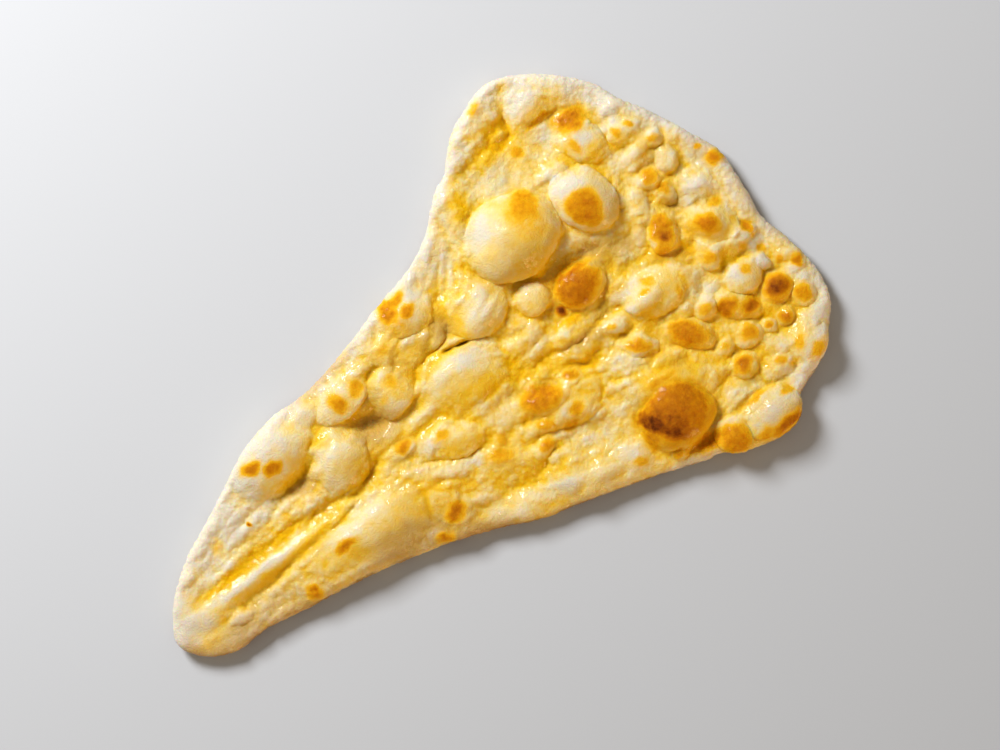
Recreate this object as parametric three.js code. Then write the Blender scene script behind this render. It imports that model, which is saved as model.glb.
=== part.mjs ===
// Naan: one hand-stretched flatbread, baked against the hot wall of a clay oven.
// The dough is a teardrop sheet with a narrow tail and a broad end. Steam lifts it into domes,
// pillows and small buttons, the stretched tail carries a rolled fold, and the edge is a soft rim.
// Millimetres, +Z up. +X runs from the tail's tip to the broad end. The origin is the centre of the
// base, on the surface that the bread lies on.
import * as THREE from 'three';

// Driving dimensions
const LENGTH = 366;          // tail tip to broad end
const WIDTH = 229;           // across the broad end
const DOUGH = 7;             // top of the flat dough between blisters
const DOUGH_WAVE = 1.3;      // slow unevenness of that top
const DOUGH_WAVELENGTH = 58;
const RIM_WIDTH = 7;         // the top rounds down to the edge over this distance
const EDGE_HEIGHT = 3.6;     // height of the edge above the base
const EDGE_WAVE = 0.9;       // the edge rises and falls by this much along the rim
const EDGE_WAVELENGTH = 83;
const BASE_INSET = 5;        // the flat base starts this far inside the edge
const CHINE_INSET = 1.8;     // the underside's rounding passes this far inside the edge
const CHINE_SHARE = 0.3;     // and at this share of the edge's height
const WANDER = 1.6;          // blister outlines stray from true ovals by this much
const WANDER_WAVELENGTHS = [31, 27];
const CELL = 3.2;            // facet size

// Steam-raised forms by kind. share is height over width, shoulder how full the top is,
// and flank how steeply the side meets the dough: a lower number is steeper.
const DOME = { share: 0.4, shoulder: 2.3, flank: 0.7 };
const PILLOW = { share: 0.27, shoulder: 2.0, flank: 0.95 };
const BUTTON = { share: 0.38, shoulder: 2.6, flank: 0.75 };
const MERGE_POWER = 5;       // how sharply neighbouring forms meet

// Each form is [x, y, length, width, turn of the length from +X in degrees].
const DOMES = [
  [74, 46, 48, 44, 0], [112.5, 35.5, 42, 30, 95], [84, -72.5, 39, 33, -15], [86, 6.5, 30, 22, -10],
  [131, 64.5, 34, 21, 100], [63.2, 15.2, 18, 16.5, 0], [-89, 31.5, 52, 29, 8], [-43, 34, 34, 20, 10],
  [116.5, -102.8, 49, 23.5, -6], [-62, 13, 32, 27.5, 20], [-23, 22, 25, 23, 40], [9, 48.5, 30, 25.5, -10],
  [39, 29, 32, 31, 0],
];
const PILLOWS = [
  [-69, -27.5, 70, 36, -8], [12, 8, 54, 32, -4], [-12, -16.5, 38, 25, -25], [1, -38, 46, 16, -27],
  [117, -18.5, 41, 26, -8], [154, -16, 36, 28, -60], [44, -40, 35, 20, -11], [-10.5, 41.5, 18, 14.5, 30],
  [6, 31, 22, 15, 0], [-34, -4, 19, 10, 5], [70, -9, 29, 12, -8], [85.5, -19, 28, 10.5, -14],
  [88, 100, 40, 18, 28], [120, 97, 25, 22, 0], [135, 92, 20, 16, -50], [58, 80, 20, 14, 75],
  [150, 53.5, 21, 17, -20], [147, 41, 17, 13.5, 0], [163, 12, 20, 15.5, 90], [159, -84.5, 24, 20, 40],
  [142, -84.5, 16, 13, 0], [80, -41, 24, 13, -15], [22, -69, 84, 18, -19], [-148, 14, 50, 16, 28],
  [-142, -26, 56, 12, -3], [-149, -19, 15.5, 10, -20], [-38, 5, 28, 10, 0],
];
const BUTTONS = [
  [134.5, 1.5, 23, 14.5, 66], [114.3, -46, 27.5, 16, -50], [127.3, -40.8, 13, 11.5, 0],
  [137.3, -46.5, 14, 13, 0], [146, -53, 13.5, 12.5, 0], [152, -40, 20, 16, -20], [163, -54.5, 16, 15, 0],
  [171, -65, 15, 12, 70], [125.7, -75, 15.5, 14, 0], [137.5, -64.3, 14.5, 12, 0], [157.3, -68, 10, 9, 0],
  [124, -62, 10, 9, 0], [36.5, -26, 22, 15.5, -25], [54.5, -26, 12, 9, -10], [91.6, -35.5, 20.5, 12, -37],
  [-33, -44.5, 17, 15.5, 0], [-45, -48.5, 14, 9, -15], [146, 28, 12.5, 11.5, 0], [148.6, 17, 16, 11, 80],
  [158, 29.7, 14, 11, 80], [159.3, 42.5, 10.5, 9, 80], [126.5, 8.5, 15, 9, 50], [134.5, 22, 12, 10, 80],
  [119, 88.3, 12.5, 9.5, 0], [102, -101, 19, 18, 0],
];
const FORMS = [
  ...DOMES.map((place) => ({ place, kind: DOME })),
  ...PILLOWS.map((place) => ({ place, kind: PILLOW })),
  ...BUTTONS.map((place) => ({ place, kind: BUTTON })),
];

// Folds and furrows in the stretched dough: a line of points, its full width and its height.
const FOLDS = [
  { line: [[-174, -9.5], [-150, -8], [-110, -8.5], [-63, -8.5]], width: 12, rise: 5.5 },
  { line: [[-164, -2], [-135, -1], [-100, -1.5]], width: 11, rise: -2.2 },
  { line: [[-150, -16], [-132, -15.5], [-75, -13.5]], width: 10, rise: -2.4 },
  { line: [[-110, 19], [-90, 15.5], [-72, 21]], width: 9, rise: -2 },
  { line: [[107, 101], [105, 89]], width: 9, rise: -3.5 },
  { line: [[62, 71], [73, 84], [88, 85], [102, 84]], width: 13, rise: -2 },
].map(({ line, width, rise }) => ({ line: line.map(([x, y]) => new THREE.Vector3(x, y, 0)), width, rise }));

// The edge seen from above, counter-clockwise from the tip of the tail.
const EDGE_POINTS = [
  [-182, -12], [-174, -25], [-161, -31.5], [-140, -32.5], [-119, -37], [-100, -40], [-70, -47], [-40, -56],
  [-18, -65], [0, -73.5], [20, -79.5], [60, -92.5], [80, -100], [92, -103.5], [98, -108], [108, -111.8],
  [123, -114.7], [134, -111.5], [139, -103.5], [150, -99.5], [163, -94], [171, -85.5], [181, -74],
  [184, -55], [181, -34], [178.5, -22], [180.5, -6], [182, 17], [178.5, 27], [165, 57], [158, 69],
  [153.5, 81], [137, 100], [120, 111.5], [109, 114.5], [97, 111.5], [85, 107], [75, 99.5], [66, 91],
  [58, 88], [51, 82], [40, 73], [24, 65.5], [0, 60], [-30, 52.5], [-55, 48.5], [-75, 49], [-95, 45],
  [-125, 31.5], [-155, 18], [-174, 3],
];
const NEAR_CORNER = [178, -78];   // the broad end runs between these two places on the edge
const FAR_CORNER = [114, 113.5];
const BOW_POWER = 2;              // rows across the bread take the broad end's curve only near it
const EVENING_PASSES = 30;        // how often the points inside the edge are evened out
const EDGE_SAMPLES = 720;

const edge = new THREE.CatmullRomCurve3(
  EDGE_POINTS.map(([x, y]) => new THREE.Vector3(x, y, 0)), true, 'centripetal');
const edgeSamples = edge.getSpacedPoints(EDGE_SAMPLES);
const nearShare = edgeShare(NEAR_CORNER);
const farShare = edgeShare(FAR_CORNER);

// Share of the edge's length from the tip to the sample nearest a place.
function edgeShare([x, y]) {
  const distances = edgeSamples.map((sample) => Math.hypot(sample.x - x, sample.y - y));
  return distances.indexOf(Math.min(...distances)) / EDGE_SAMPLES;
}

// Distance from a point to a line of points.
function distanceToLine(x, y, line) {
  let nearest = Infinity;
  for (let k = 1; k < line.length; k++) {
    const a = line[k - 1];
    const b = line[k];
    const along = ((x - a.x) * (b.x - a.x) + (y - a.y) * (b.y - a.y)) / a.distanceToSquared(b);
    const share = THREE.MathUtils.clamp(along, 0, 1);
    nearest = Math.min(nearest, Math.hypot(x - a.x - share * (b.x - a.x), y - a.y - share * (b.y - a.y)));
  }
  return nearest;
}

// A slow wave over the dough, about -1 to 1, made of two slanting ripples.
function wave(x, y, wavelength, phase) {
  const turn = (2 * Math.PI) / wavelength;
  const ripples = [[1, 0.35], [-0.3, 0.8]];
  const heights = ripples.map(([alongX, alongY], k) => (
    Math.sin(turn * (alongX * x + alongY * y) + (k + 1) * phase)));
  return (heights[0] + heights[1]) / 2;
}

// Height of one blister above the dough at a point.
function formHeight(x, y, { place, kind }) {
  const [cx, cy, length, width, turnDegrees] = place;
  const turn = THREE.MathUtils.degToRad(turnDegrees);
  const along = (x - cx) * Math.cos(turn) + (y - cy) * Math.sin(turn);
  const across = (y - cy) * Math.cos(turn) - (x - cx) * Math.sin(turn);
  const reach = Math.hypot(along / (length / 2), across / (width / 2));
  if (reach >= 1) return 0;
  return kind.share * width * (1 - reach ** kind.shoulder) ** kind.flank;
}

// Height of the dough's top away from the rim.
function doughHeight(x, y) {
  const strayX = x + WANDER * wave(x, y, WANDER_WAVELENGTHS[0], 0.4);
  const strayY = y + WANDER * wave(x, y, WANDER_WAVELENGTHS[1], 1.9);
  const raised = FORMS.reduce((sum, form) => sum + formHeight(strayX, strayY, form) ** MERGE_POWER, 0);
  const folded = FOLDS.reduce((sum, { line, width, rise }) => {
    const reach = Math.min(distanceToLine(strayX, strayY, line) / (width / 2), 1);
    return sum + rise * (1 - reach * reach) ** 2;
  }, 0);
  return DOUGH + DOUGH_WAVE * wave(x, y, DOUGH_WAVELENGTH, 0.9) + raised ** (1 / MERGE_POWER) + folded;
}

function edgeHeight(x, y) {
  return EDGE_HEIGHT + EDGE_WAVE * wave(x, y, EDGE_WAVELENGTH, 2.6);
}

// Height of the upper surface, with the rim rounded down to the edge.
function topHeight(x, y) {
  const inside = Math.min(distanceToLine(x, y, edgeSamples) / RIM_WIDTH, 1);
  const rounding = Math.sqrt(1 - (1 - inside) ** 2);
  const low = edgeHeight(x, y);
  return low + (doughHeight(x, y) - low) * rounding;
}

// Points across the bread, from its near edge to its far edge, at a share of the way from the tip.
function crossRow(share) {
  const near = edge.getPointAt(nearShare * share);
  const far = edge.getPointAt(share === 0 ? 0 : 1 - (1 - farShare) * share);
  const nearCorner = edge.getPointAt(nearShare);
  const farCorner = edge.getPointAt(farShare);
  const steps = Math.round(near.distanceTo(far) / CELL);
  const row = [near];
  for (let j = 1; j <= steps; j++) {
    const across = j / steps;
    const end = edge.getPointAt(THREE.MathUtils.lerp(nearShare, farShare, across));
    const chord = nearCorner.clone().lerp(farCorner, across);
    row.push(near.clone().lerp(far, across).addScaledVector(end.sub(chord), share ** BOW_POWER));
  }
  return row;
}

// Triangles between two rows of point numbers that run the same way.
function stitch(rowA, rowB, triangles) {
  let a = 0;
  let b = 0;
  while (a < rowA.length - 1 || b < rowB.length - 1) {
    const nextA = (a + 1) / Math.max(rowA.length - 1, 1);
    const nextB = (b + 1) / Math.max(rowB.length - 1, 1);
    if (a === rowA.length - 1 || (b < rowB.length - 1 && nextB <= nextA)) {
      triangles.push(rowA[a], rowB[b], rowB[b + 1]);
      b++;
    } else {
      triangles.push(rowA[a], rowB[b], rowA[a + 1]);
      a++;
    }
  }
}

// Moves each point that isn't on the edge to the middle of its neighbours, again and again.
function evenOut(points, triangles, onEdge) {
  const neighbours = points.map(() => new Set());
  for (let t = 0; t < triangles.length; t += 3) {
    for (let c = 0; c < 3; c++) {
      const from = triangles[t + c];
      const to = triangles[t + (c + 1) % 3];
      neighbours[from].add(to);
      neighbours[to].add(from);
    }
  }
  for (let pass = 0; pass < EVENING_PASSES; pass++) {
    points.forEach((point, v) => {
      if (onEdge.has(v)) return;
      point.set(0, 0, 0);
      neighbours[v].forEach((n) => point.add(points[n]));
      point.divideScalar(neighbours[v].size);
    });
  }
}

// The closed loop of points a distance inside the edge's loop.
function insetLoop(loop, distance) {
  return loop.map((point, k) => {
    const before = loop[(k + loop.length - 2) % loop.length];
    const after = loop[(k + 2) % loop.length];
    const inward = new THREE.Vector3(before.y - after.y, after.x - before.x, 0).normalize();
    return point.clone().addScaledVector(inward, distance);
  });
}

function breadGeometry() {
  // The sheet from above, in rows from the tip to the broad end
  const points = [];
  const triangles = [];
  const rows = [];
  const rowCount = Math.round(LENGTH / CELL);
  for (let i = 0; i <= rowCount; i++) {
    rows.push(crossRow(i / rowCount).map((point) => points.push(point) - 1));
  }
  for (let i = 1; i <= rowCount; i++) stitch(rows[i - 1], rows[i], triangles);
  const loop = [
    ...rows.slice(0, rowCount).map((row) => row[0]),
    ...rows[rowCount],
    ...rows.slice(1, rowCount).reverse().map((row) => row.at(-1)),
  ];
  const onEdge = new Set(loop);
  evenOut(points, triangles, onEdge);

  // Underside: the edge rounds in to a flat base
  const loopPoints = loop.map((v) => points[v].clone());
  const chinePoints = insetLoop(loopPoints, CHINE_INSET);
  const basePoints = insetLoop(loopPoints, BASE_INSET);
  points.forEach((p, v) => { p.z = onEdge.has(v) ? edgeHeight(p.x, p.y) : topHeight(p.x, p.y); });
  chinePoints.forEach((p, k) => { p.z = CHINE_SHARE * points[loop[k]].z; });
  const chine = chinePoints.map((p) => points.push(p) - 1);
  const base = basePoints.map((p) => points.push(p) - 1);
  for (const [outer, inner] of [[loop, chine], [chine, base]]) {
    outer.forEach((v, k) => {
      const next = (k + 1) % outer.length;
      triangles.push(v, inner[k], outer[next], outer[next], inner[k], inner[next]);
    });
  }
  for (const [a, b, c] of THREE.ShapeUtils.triangulateShape(basePoints, [])) {
    triangles.push(base[a], base[c], base[b]);
  }

  const geometry = new THREE.BufferGeometry().setFromPoints(points);
  geometry.setIndex(triangles);
  geometry.center();
  geometry.computeBoundingBox();
  const size = geometry.boundingBox.getSize(new THREE.Vector3());
  geometry.translate(0, 0, size.z / 2);
  geometry.scale(LENGTH / size.x, WIDTH / size.y, 1);
  geometry.computeVertexNormals();
  return geometry;
}

const bakedDough = new THREE.MeshStandardMaterial({ color: 0xe9c878, roughness: 0.5, metalness: 0 });
const bread = new THREE.Mesh(breadGeometry(), bakedDough);
bread.name = 'naan';

const naan = new THREE.Group();
naan.add(bread);
export default naan;
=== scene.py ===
import math

import bpy
import numpy as np
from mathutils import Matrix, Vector
from mathutils.geometry import delaunay_2d_cdt


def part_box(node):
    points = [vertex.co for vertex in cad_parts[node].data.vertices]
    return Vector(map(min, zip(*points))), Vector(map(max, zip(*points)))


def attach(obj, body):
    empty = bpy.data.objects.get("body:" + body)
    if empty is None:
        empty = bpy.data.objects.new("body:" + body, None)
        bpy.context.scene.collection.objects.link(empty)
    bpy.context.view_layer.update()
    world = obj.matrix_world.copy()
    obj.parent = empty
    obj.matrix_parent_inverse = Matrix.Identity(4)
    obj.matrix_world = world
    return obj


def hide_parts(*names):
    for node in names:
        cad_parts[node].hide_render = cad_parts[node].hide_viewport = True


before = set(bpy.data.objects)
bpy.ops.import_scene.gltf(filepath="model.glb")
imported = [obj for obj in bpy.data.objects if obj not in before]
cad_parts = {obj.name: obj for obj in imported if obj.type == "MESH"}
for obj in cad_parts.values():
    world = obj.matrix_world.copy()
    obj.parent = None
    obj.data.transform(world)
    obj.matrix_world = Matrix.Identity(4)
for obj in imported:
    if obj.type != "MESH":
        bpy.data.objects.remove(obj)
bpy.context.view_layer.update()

# The bread. One sheet of leavened dough, stretched by hand into a teardrop, slapped onto the wall of a
# clay oven and brushed with butter. Steam lifts it into domes, pillows and buttons, which toast first.
# Places and sizes here are millimetres in the part's frame, and become metres in the mesh.
MM = 0.001

# Outline: the edge seen from above, counter-clockwise from the tip of the tail
EDGE_POINTS = [
    (-182, -12), (-174, -25), (-161, -31.5), (-140, -32.5), (-119, -37), (-100, -40), (-70, -47),
    (-40, -56), (-18, -65), (0, -73.5), (20, -79.5), (60, -92.5), (80, -100), (92, -103.5), (98, -108),
    (108, -111.8), (123, -114.7), (134, -111.5), (139, -103.5), (150, -99.5), (163, -94), (171, -85.5),
    (181, -74), (184, -55), (181, -34), (178.5, -22), (180.5, -6), (182, 17), (178.5, 27), (165, 57),
    (158, 69), (153.5, 81), (137, 100), (120, 111.5), (109, 114.5), (97, 111.5), (85, 107), (75, 99.5),
    (66, 91), (58, 88), (51, 82), (40, 73), (24, 65.5), (0, 60), (-30, 52.5), (-55, 48.5), (-75, 49),
    (-95, 45), (-125, 31.5), (-155, 18), (-174, 3),
]
EDGE_SPACING = 0.9
EDGE_STEPS = 40             # places worked out between two of these points
RIM_WIDTH = 3.8             # the top rounds down to the edge over this distance
RIM_RINGS = 8
TOP_SPACING = 0.86
BASE_WIDTH = 11.0           # and the underside rounds up to it over this one
BASE_RINGS = 5
BASE_SPACING = 2.4
LATTICE_GAP = 0.7           # share of its spacing from a lattice to the innermost ring


def smooth_loop(points, spacing):
    """Evenly spaced places on a closed smooth curve through the points."""
    p1 = np.array(points, float)
    p0, p2, p3 = (np.roll(p1, shift, axis=0) for shift in (1, -1, -2))
    gap0, gap1, gap2 = (
        np.sqrt(np.linalg.norm(b - a, axis=1))[:, None] for a, b in ((p0, p1), (p1, p2), (p2, p3)))
    leaving = gap1 * ((p1 - p0) / gap0 - (p2 - p0) / (gap0 + gap1) + (p2 - p1) / gap1)
    arriving = gap1 * ((p2 - p1) / gap1 - (p3 - p1) / (gap1 + gap2) + (p3 - p2) / gap2)
    t = np.linspace(0, 1, EDGE_STEPS, endpoint=False)[:, None, None]
    curve = (2 * t**3 - 3 * t**2 + 1) * p1 + (t**3 - 2 * t**2 + t) * leaving
    curve = curve + (3 * t**2 - 2 * t**3) * p2 + (t**3 - t**2) * arriving
    dense = curve.transpose(1, 0, 2).reshape(-1, 2)
    closed = np.vstack([dense, dense[:1]])
    run = np.concatenate([[0], np.cumsum(np.linalg.norm(np.diff(closed, axis=0), axis=1))])
    stops = np.linspace(0, run[-1], round(run[-1] / spacing), endpoint=False)
    return np.column_stack([np.interp(stops, run, closed[:, k]) for k in (0, 1)])


def ring_inside(loop, distance):
    """The loop of places a distance inside another loop."""
    along = np.roll(loop, -2, axis=0) - np.roll(loop, 2, axis=0)
    inward = np.column_stack([-along[:, 1], along[:, 0]])
    return loop + distance * inward / np.linalg.norm(inward, axis=1)[:, None]


def dots_inside(loop, spacing):
    """Places on a triangular lattice that lie inside a loop."""
    ends = np.roll(loop, -1, axis=0)
    dots = []
    for row, y in enumerate(np.arange(loop[:, 1].min(), loop[:, 1].max(), spacing * math.sqrt(0.75))):
        offset = row % 2 / 2
        crossing = (loop[:, 1] > y) != (ends[:, 1] > y)
        a, b = loop[crossing], ends[crossing]
        cuts = np.sort(a[:, 0] + (y - a[:, 1]) / (b[:, 1] - a[:, 1]) * (b[:, 0] - a[:, 0]))
        for left, right in zip(cuts[::2], cuts[1::2]):
            first = math.ceil(left / spacing - offset)
            x = spacing * (np.arange(first, right / spacing - offset) + offset)
            dots.append(np.column_stack([x, np.full(len(x), y)]))
    return np.vstack(dots)


def triangulate(places, loop_count):
    """Triangles over the places inside the loop that the first of them make."""
    fence = [(k, (k + 1) % loop_count) for k in range(loop_count)]
    only_inside = 1
    merge_distance = 1e-5
    made = delaunay_2d_cdt([Vector(place) for place in places], fence, [], only_inside, merge_distance)
    source = np.array([olds[0] for olds in made[3]])
    return source[np.array(made[2])]


def lay_sheet(width, ring_count, spacing):
    """A sheet over the outline: rings that close up towards the edge, and a lattice inside them. Gives the
    rings' distances from the edge, the lattice, all places, and the triangles between them."""
    steps = width * (1 - np.cos(np.linspace(0, math.pi / 2, ring_count + 1)[1:-1]))
    dots = dots_inside(ring_inside(edge, steps[-1] + LATTICE_GAP * spacing), spacing)
    places = np.vstack([edge, *(ring_inside(edge, step) for step in steps), dots])
    return steps, dots, places, triangulate(places, len(edge))


def edge_distance(steps, dots):
    """Distance inside the edge, exact on the rings."""
    rings = np.repeat(np.concatenate([[0], steps]), len(edge))
    squares = [((edge - dot) ** 2).sum(axis=1).min() for dot in dots]
    return np.concatenate([rings, np.sqrt(squares)])


def rounding(distance, width):
    """0 at the edge, rising to 1 over the width as a quarter circle does."""
    return np.sqrt(1 - (1 - np.minimum(distance / width, 1)) ** 2)


edge = smooth_loop(EDGE_POINTS, EDGE_SPACING)
rim_steps, top_dots, top, top_faces = lay_sheet(RIM_WIDTH, RIM_RINGS, TOP_SPACING)
base_steps, base_dots, base, base_faces = lay_sheet(BASE_WIDTH, BASE_RINGS, BASE_SPACING)
x, y = top.T
inside_edge = edge_distance(rim_steps, top_dots)

# Blisters by kind. share is height over width, wrap how many degrees of a ball the skin follows from its
# top down to the dough, lean how far its top slumped in degrees, skirt the share of its height that the
# dough round it is drawn up to, soft how far its foot runs out into the dough on the side it slumped to
# and on the other side, and wobble how uneven its outline is. Each blister is (x, y, length, width, turn
# of the length from +X in degrees), with its own lean after that where it differs from its kind's.
BALL = dict(share=0.40, wrap=98, lean=6, skirt=0.10, soft=(0.0, 0.35), wobble=0.35)
BALLS = [
    (74, 45.5, 50, 43, 0), (113.5, 39, 39, 28, 95), (85, -73, 41, 34, -15), (86, 6.5, 29, 21, -8),
    (63.4, 15, 17, 16, 0), (101, -100, 20, 20, 0), (123, -102, 34, 23, -6),
]
PUFF = dict(share=0.32, wrap=84, lean=11, skirt=0.16, soft=(0.0, 0.95), wobble=0.5)
PUFFS = [
    (131, 64.5, 35, 21.5, 100, 8), (-88, 35.5, 50, 33, 8, -3), (-43, 36.5, 34, 24, 10),
    (-21.5, 22.5, 24, 23, 40), (10, 49, 30, 25, -8), (39, 29, 33, 31, 40), (113.5, -19, 38, 25, 3),
    (156, -9.5, 31, 23, -40), (160, -84.5, 25, 20, 40), (-64, 40, 26, 14, 5, 0),
    (-10, -15.5, 31, 20, -26, 5), (-62, 12.5, 37, 30, 35, 6), (-35, -3, 22, 9, 2), (70, -10, 28, 12, -10),
]
PAN = dict(share=0.23, wrap=80, lean=6, skirt=0.15, soft=(0.0, 1.0), wobble=0.8)
PANS = [(47, -35.5, 40, 27, -12)]
MOUND = dict(share=0.26, wrap=62, lean=10, skirt=0.24, soft=(0.6, 1.0), wobble=1.0)
MOUNDS = [
    (-67, -27, 82, 36, -10, -24), (13, 7, 46, 36, -6, -26), (-10, 41.5, 20, 14.5, 30),
    (119, 88.5, 15, 12, 0), (136, 91, 22, 18, -50), (149, 54, 20, 15, -10), (146.5, 39.5, 14, 13, 0),
    (162, 11, 19, 18, 90), (139, -85.5, 18, 9, 0), (81, -39.5, 22, 12, -20), (90, -58, 46, 30, -15, 0),
    (156, -23, 30, 18, -12, 0), (128, -19, 24, 18, -10, 0), (20, -24, 40, 14, -10, 0),
    (48, -6, 24, 9, 0, 0), (42, -18, 30, 10, -5, 0), (-8, -7, 26, 9, 0, 0), (42, 2, 20, 13, 0, 0),
    (94, 102, 36, 15, 15, 0), (122, 93, 30, 23, 0, 0), (20, -36, 26, 10, -15, 0),
    (176, -56, 24, 12, 95, 0), (91, -18.5, 46, 11, -8, 0), (1, -39, 48, 18, -23, 0), (60, 77, 26, 16, 62),
    (5, 33, 28, 16, -5), (0, -64, 28, 15, -22, 0), (22, -66, 26, 16, -8, 0), (38, -74, 28, 15, -24, 0),
    (56, -77, 24, 17, -20, 0), (-38, 7, 36, 12, 2), (11, -11, 18, 7, -8), (-20, -46, 18, 7, -20),
    (-84, 6, 40, 12, 4), (-14, 3, 30, 10, 2), (52, 3, 18, 12, 10), (60, -18, 20, 9, -15),
    (106, -62, 20, 16, 20), (-33, -44.5, 20, 18, 0, 14),
]
BUTTON = dict(share=0.38, wrap=86, lean=8, skirt=0.12, soft=(0.0, 0.5), wobble=0.45)
BUTTONS = [
    (134, 1.5, 22, 14, 66), (114.3, -46.5, 27, 16, -50), (127.8, -41, 14, 12, 0),
    (141.5, -49.5, 25, 14, -38), (152.5, -40, 21, 17, -15), (164, -40, 9, 8, 0), (163, -54.5, 16, 15, 0),
    (171.5, -65, 16, 14, 70), (126.5, -75.5, 15, 14, 0), (137.5, -64.5, 15, 13, 0), (148, -67, 9, 8, 90),
    (157.3, -68, 11, 10, 0), (125, -62, 11, 8.5, 0), (91, -35, 18, 11, -42), (-45, -48.5, 14, 9, -15),
    (146, 27, 13, 13, 0), (148, 17, 15, 11, 80), (158.5, 29, 13, 11, 80), (159.3, 41.5, 10.5, 9, 80),
    (126, 8.5, 15, 7, 50), (134.5, 21, 12, 11, 80), (155, 7.5, 9, 8.5, 0), (178, 16, 9, 8, 0),
    (170, -22, 8, 6, 90), (74.5, -89.5, 9, 8, 0), (23.5, -46.5, 9, 7, -20), (180, -49, 9, 8, 90),
    (70.5, 1.5, 5, 5, 0), (8, -29.5, 9, 8, 0), (14.5, -36, 7, 6, 0), (15, -52, 7, 4, -10),
    (24, -53, 8, 5, 0), (-20, 31, 9, 6, 30), (-148.5, -20.5, 14, 8, -20),
]
# Small blisters that ride on larger ones
RIDER = dict(share=0.26, wrap=78, lean=14, skirt=0.1, soft=(0.1, 0.8), wobble=0.9)
RIDERS = [
    (36, -26, 24, 16, -28), (43, -38, 14, 9, -10), (54, -26, 12, 9, -10), (49, -41, 9, 8, 0),
    (30, -37, 9, 8, -30), (155, -6, 17, 15, -40), (146, -20, 15, 13, 60), (163, -21, 15, 11, -20),
    (106, -16, 20, 14, -10),
]
# Soft swells that follow each other round the rim
SWELL = dict(share=0.12, wrap=55, lean=0, skirt=0.30, soft=(0.6, 0.8), wobble=1.0)
SWELL_SEED = 3
SWELL_LENGTHS = (16, 42)
SWELL_WIDTHS = (10, 17)
SWELL_INSET = 0.30          # share of its width from the edge to a swell's middle
SWELL_STEP = 0.8            # share of its length from one swell to the next
SWELL_SIGHT = 4             # places to each side that give the rim's direction
# Small lumps that fill the dough between the blisters, drawn out along the way it was stretched
LUMP = dict(share=0.24, wrap=70, lean=12, skirt=0.2, soft=(0.1, 0.8), wobble=1.2)
LUMP_SEED = 11
LUMP_COUNT = 480
LUMP_WIDTHS = (4, 11)
LUMP_STRETCH = (1.3, 2.8)
LUMP_TURN = 20              # degrees by which they turn from the way of the stretch
HAND = (-240, -10)          # the dough was stretched outward from the hand, beyond the tail

WANDER = 0.9                # blister outlines stray from true ovals by this much
WANDER_X = (31, 0.4)        # along x in waves of this length and phase
WANDER_Y = (27, 1.9)
DENT = 0.7                  # and are dented by this much over patches of the next size
DENT_SIZE = 12
DENT_SEEDS = (1, 2)
WOBBLE = (0.09, 0.06, 0.03) # shares by which 2, 3 and 4 swells round an outline change its reach
OUTLINE_SEED = 5
OUTLINE_LIMIT = 1.2         # no outline strays past this share of its oval
LEAN_WAY = -90              # degrees from +X: the way that blisters slumped on the oven's wall, and away from the key light
LEE_START, LEE_END = -0.8, 0.6   # how squarely a foot faces away from it, from its crisp to its soft side
MERGE_POWER = 3.5           # how sharply neighbouring blisters meet
BELL_REACH = 1.12           # a soft foot runs out this far, as a share of its reach
FOOT_CHANGE = 0.4           # feet grow softer and crisper along their run by this share
FOOT_PATCH = 15
SKIRT_REACH = 0.5           # a skirt of dough is drawn up round a blister over this share of its reach
PATCH_CELLS = 64            # patches after which a random field repeats
PATCH_GAIN = 1.5            # brings such a field to about -1 to 1
RIPPLES = ((1.0, 0.35), (-0.3, 0.8))   # shares of x and y along which the two ripples of a wave run
lean_way = np.array([math.cos(math.radians(LEAN_WAY)), math.sin(math.radians(LEAN_WAY))])


def smooth_step(value, start, end):
    """0 up to a start, 1 from an end, and a soft rise between them."""
    share = np.clip((value - start) / (end - start), 0, 1)
    return share * share * (3 - 2 * share)


def wave(x, y, wavelength, phase):
    """A slow wave over the dough, about -1 to 1, made of two slanting ripples."""
    turn = 2 * math.pi / wavelength
    first, second = (turn * (along * x + across * y) for along, across in RIPPLES)
    return (np.sin(first + phase) + np.sin(second + 2 * phase)) / 2


def patchy(x, y, size, seed):
    """A smooth random field, about -1 to 1, with patches of about the given size."""
    angles = np.random.default_rng(seed).uniform(0, 2 * math.pi, (PATCH_CELLS, PATCH_CELLS))
    i, j = np.floor(x / size).astype(int), np.floor(y / size).astype(int)
    u, v = x / size - i, y / size - j

    def slope_at(di, dj):
        angle = angles[(i + di) % PATCH_CELLS, (j + dj) % PATCH_CELLS]
        return np.cos(angle) * (u - di) + np.sin(angle) * (v - dj)

    near = slope_at(0, 0) + smooth_step(u, 0, 1) * (slope_at(1, 0) - slope_at(0, 0))
    far = slope_at(0, 1) + smooth_step(u, 0, 1) * (slope_at(1, 1) - slope_at(0, 1))
    return PATCH_GAIN * (near + smooth_step(v, 0, 1) * (far - near))


def in_oval(x, y, oval):
    """Places along and across an oval, where both are in units of its half sizes."""
    cx, cy, length, width, degrees = oval
    turn = math.radians(degrees)
    along = (x - cx) * math.cos(turn) + (y - cy) * math.sin(turn)
    across = (y - cy) * math.cos(turn) - (x - cx) * math.sin(turn)
    return along / (length / 2), across / (width / 2)


def stretch_way(x, y):
    """The turn from +X of the way that the dough was stretched."""
    return np.arctan2(y - HAND[1], x - HAND[0])


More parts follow.
